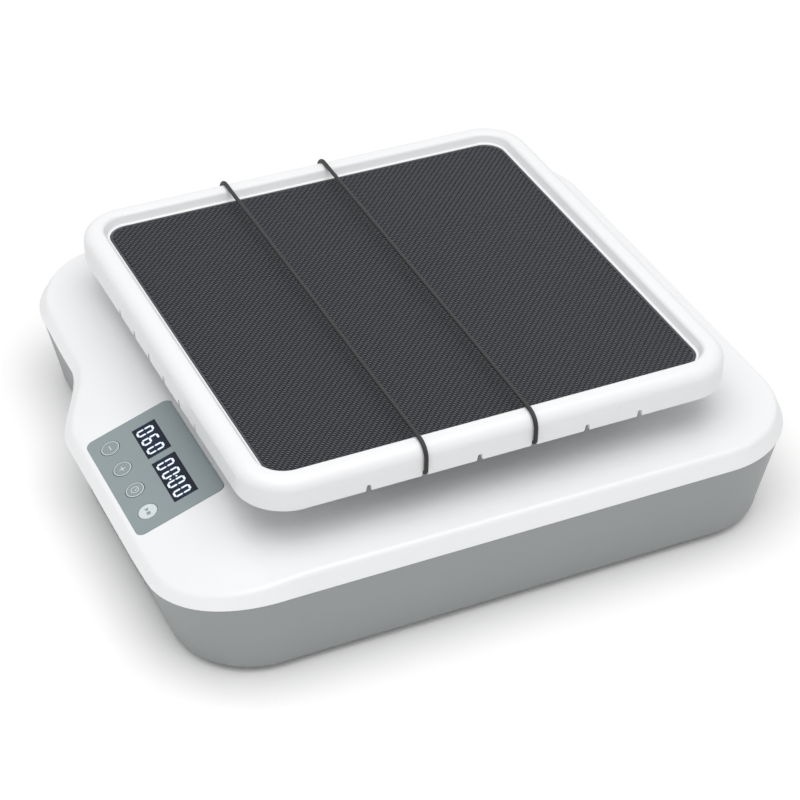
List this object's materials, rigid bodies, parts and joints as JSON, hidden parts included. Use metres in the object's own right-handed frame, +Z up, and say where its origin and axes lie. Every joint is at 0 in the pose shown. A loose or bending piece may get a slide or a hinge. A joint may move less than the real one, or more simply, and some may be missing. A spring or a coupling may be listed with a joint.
{
  "type": "orbital shaker",
  "caption": "Benchtop orbital shaker: square rimmed tray with a textured mat and two holding bands, carried round a small circle above a low housing with a sloped control panel.",
  "frame": {"origin": "on the table under the middle of the housing's outline", "axes": "+Z up, +X to the right of a user at the control panel, -Y towards that user"},
  "size_m": [0.378, 0.42, 0.1248],
  "materials": {
    "cover": "satin moulded ABS",
    "base": "fine textured moulded plastic",
    "panel": "glossy printed overlay",
    "button": "glossy overlay with raised outline",
    "display": "dark display window",
    "mat_rubber": "woven relief rubber",
    "band_rubber": "smooth rubber cord",
    "black_rubber": "moulded rubber",
    "steel": "zinc plated steel",
    "bearing_steel": "ground bearing steel",
    "cast_aluminium": "machined casting",
    "black_plastic": "moulded black plastic",
    "circuit_board": "glass fibre board",
    "lead_jacket": "flexible lead jacket",
    "brass": "turned brass",
    "magnet": "nickel plated magnet"
  },
  "bodies": {
    "housing": {"base_tub": "base", "top_cover": "cover", "rubber_feet": "black_rubber", "foot_screws": "steel", "cover_screws": "steel", "control_panel": "panel", "speed_display": "display", "time_display": "display", "control_board": "circuit_board", "key_switches": "black_plastic", "panel_cable": "lead_jacket", "chassis_plate": "steel", "chassis_screws": "steel", "main_bearing_housing": "cast_aluminium", "main_bearings": "bearing_steel", "idler_bearing_housings": "cast_aluminium", "idler_bearings": "bearing_steel", "housing_screws": "steel", "shaft_seals": "black_rubber", "motor_bracket": "steel", "motor_body": "steel", "motor_screws": "steel", "drive_belt": "black_rubber", "driver_board": "circuit_board", "board_standoffs": "brass", "speed_sensor": "black_plastic", "motor_cable": "lead_jacket", "power_cable": "lead_jacket", "power_inlet": "black_plastic", "power_switch": "black_plastic"},
    "crank": {"main_crank": "steel", "drive_pulley": "cast_aluminium", "counterweight": "steel", "crank_screws": "steel", "sensor_magnet": "magnet"},
    "platform": {"carrier_plate": "cast_aluminium", "centre_bearing": "bearing_steel", "corner_bearings": "bearing_steel", "bearing_clips": "steel", "tray": "cover", "tray_screws": "steel", "tray_mat": "mat_rubber", "front_band": "band_rubber", "rear_band": "band_rubber"},
    "rotor": {"motor_shaft": "steel", "motor_pulley": "cast_aluminium"},
    "follower_1": {"idler_crank_1": "steel"},
    "follower_2": {"idler_crank_2": "steel"},
    "follower_3": {"idler_crank_3": "steel"},
    "follower_4": {"idler_crank_4": "steel"},
    "minus_button": {"key_minus": "button"},
    "plus_button": {"key_plus": "button"},
    "time_button": {"key_time": "button"},
    "run_button": {"key_run": "button"},
    "rocker": {"switch_rocker": "black_plastic"}
  },
  "joints": [
    {"name": "crank_spin", "type": "hinge", "parent": "housing", "child": "crank", "pos_m": [0, 0.01, 0.05], "axis": [0, 0, 1], "continuous": true},
    {"name": "platform_orbit", "type": "hinge", "parent": "crank", "child": "platform", "pos_m": [0, 0.005, 0.1], "axis": [0, 0, 1], "continuous": true},
    {"name": "motor_spin", "type": "hinge", "parent": "housing", "child": "rotor", "pos_m": [0, 0.11, 0.05], "axis": [0, 0, 1], "continuous": true},
    {"name": "follower_1_spin", "type": "hinge", "parent": "housing", "child": "follower_1", "pos_m": [0.1, -0.09, 0.05], "axis": [0, 0, 1], "continuous": true},
    {"name": "follower_2_spin", "type": "hinge", "parent": "housing", "child": "follower_2", "pos_m": [0.1, 0.11, 0.05], "axis": [0, 0, 1], "continuous": true},
    {"name": "follower_3_spin", "type": "hinge", "parent": "housing", "child": "follower_3", "pos_m": [-0.1, 0.11, 0.05], "axis": [0, 0, 1], "continuous": true},
    {"name": "follower_4_spin", "type": "hinge", "parent": "housing", "child": "follower_4", "pos_m": [-0.1, -0.09, 0.05], "axis": [0, 0, 1], "continuous": true},
    {"name": "minus_press", "type": "slide", "parent": "housing", "child": "minus_button", "axis": [0, 0.3322, -0.9432], "range_m": [0, 0.0005], "stiffness_N_per_m": 800, "springref_m": -0.0005},
    {"name": "plus_press", "type": "slide", "parent": "housing", "child": "plus_button", "axis": [0, 0.3322, -0.9432], "range_m": [0, 0.0005], "stiffness_N_per_m": 800, "springref_m": -0.0005},
    {"name": "time_press", "type": "slide", "parent": "housing", "child": "time_button", "axis": [0, 0.3322, -0.9432], "range_m": [0, 0.0005], "stiffness_N_per_m": 800, "springref_m": -0.0005},
    {"name": "run_press", "type": "slide", "parent": "housing", "child": "run_button", "axis": [0, 0.3322, -0.9432], "range_m": [0, 0.0005], "stiffness_N_per_m": 800, "springref_m": -0.0005},
    {"name": "rocker_tilt", "type": "hinge", "parent": "housing", "child": "rocker", "pos_m": [-0.018, 0.1958, 0.032], "axis": [0, 0, 1], "range_deg": [0, 20]}
  ],
  "couplings": [
    {"joint": "platform_orbit", "follows": "crank_spin", "ratio": -1},
    {"joint": "motor_spin", "follows": "crank_spin", "ratio": 4},
    {"joint": "follower_1_spin", "follows": "crank_spin", "ratio": 1},
    {"joint": "follower_2_spin", "follows": "crank_spin", "ratio": 1},
    {"joint": "follower_3_spin", "follows": "crank_spin", "ratio": 1},
    {"joint": "follower_4_spin", "follows": "crank_spin", "ratio": 1}
  ]
}
